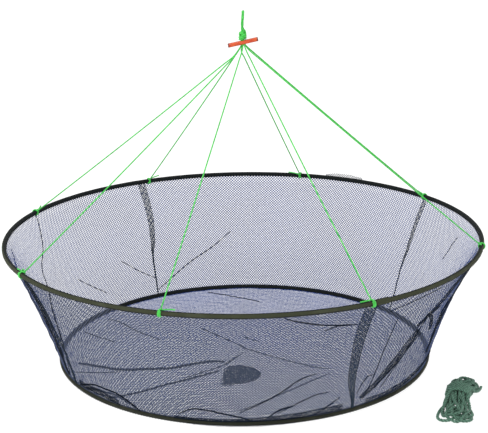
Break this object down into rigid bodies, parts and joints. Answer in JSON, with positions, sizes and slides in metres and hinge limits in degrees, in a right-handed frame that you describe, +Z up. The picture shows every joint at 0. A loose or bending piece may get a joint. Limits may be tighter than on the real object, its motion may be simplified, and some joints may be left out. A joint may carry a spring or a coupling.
{
  "type": "folding crab trap",
  "caption": "Round drop net that folds flat: a conical mesh basket on two spring-wire hoops, lifted by cords under a cross bar and loop, with its hauling line.",
  "frame": {"origin": "crown of the hanging loop, where a hook or line bears on it", "axes": "+Z up along the hanging load, +X to the right, front towards -Y"},
  "size_m": [0.8074, 0.8074, 0.5883],
  "materials": {
    "spring_wire": "satin",
    "crimp_ferrule": "satin",
    "sleeve_tape": "matte",
    "netting": "satin",
    "seam_thread": "matte",
    "bridle_cord": "satin",
    "bar_plastic": "satin",
    "haul_line": "satin"
  },
  "bodies": {
    "rigging": {"hanging_loop": "bridle_cord", "stopper_knot": "bridle_cord", "cord_bundle": "bridle_cord", "bridle_cord_1": "bridle_cord", "bridle_cord_2": "bridle_cord", "bridle_cord_3": "bridle_cord", "bridle_cord_4": "bridle_cord", "bridle_cord_5": "bridle_cord", "bridle_cord_6": "bridle_cord", "bridle_cord_7": "bridle_cord", "bridle_cord_8": "bridle_cord", "haul_line_hank": "haul_line"},
    "toggle": {"toggle_bar": "bar_plastic"},
    "top_hoop": {"top_hoop_wire": "spring_wire", "top_hoop_ferrule": "crimp_ferrule", "top_hoop_sleeve": "sleeve_tape", "top_sleeve_overlap": "sleeve_tape", "hoop_hitch_1": "bridle_cord", "hoop_hitch_2": "bridle_cord", "hoop_hitch_3": "bridle_cord", "hoop_hitch_4": "bridle_cord", "hoop_hitch_5": "bridle_cord", "hoop_hitch_6": "bridle_cord", "hoop_hitch_7": "bridle_cord", "hoop_hitch_8": "bridle_cord", "wall_panel_1": "netting", "wall_panel_2": "netting", "wall_panel_3": "netting", "wall_panel_4": "netting", "wall_seam_1": "seam_thread", "wall_seam_2": "seam_thread", "wall_seam_3": "seam_thread", "wall_seam_4": "seam_thread"},
    "base_hoop": {"base_hoop_wire": "spring_wire", "base_hoop_ferrule": "crimp_ferrule", "base_hoop_sleeve": "sleeve_tape", "base_sleeve_overlap": "sleeve_tape", "floor_net": "netting", "bait_pocket": "netting", "pocket_hem": "seam_thread"}
  },
  "joints": [
    {"name": "toggle_swivel", "type": "hinge", "parent": "rigging", "child": "toggle", "pos_m": [0, 0, -0.048], "axis": [-0.2079, 0, 0.9781], "continuous": true},
    {"name": "bridle_fold", "type": "slide", "parent": "rigging", "child": "top_hoop", "axis": [0, 0, 1], "range_m": [0, 0.29], "deforming": ["bridle_cord_1", "bridle_cord_2", "bridle_cord_3", "bridle_cord_4", "bridle_cord_5", "bridle_cord_6", "bridle_cord_7", "bridle_cord_8"]},
    {"name": "basket_fold", "type": "slide", "parent": "top_hoop", "child": "base_hoop", "axis": [0, 0, 1], "range_m": [0, 0.195], "deforming": ["wall_panel_1", "wall_panel_2", "wall_panel_3", "wall_panel_4", "wall_seam_1", "wall_seam_2", "wall_seam_3", "wall_seam_4"]}
  ]
}
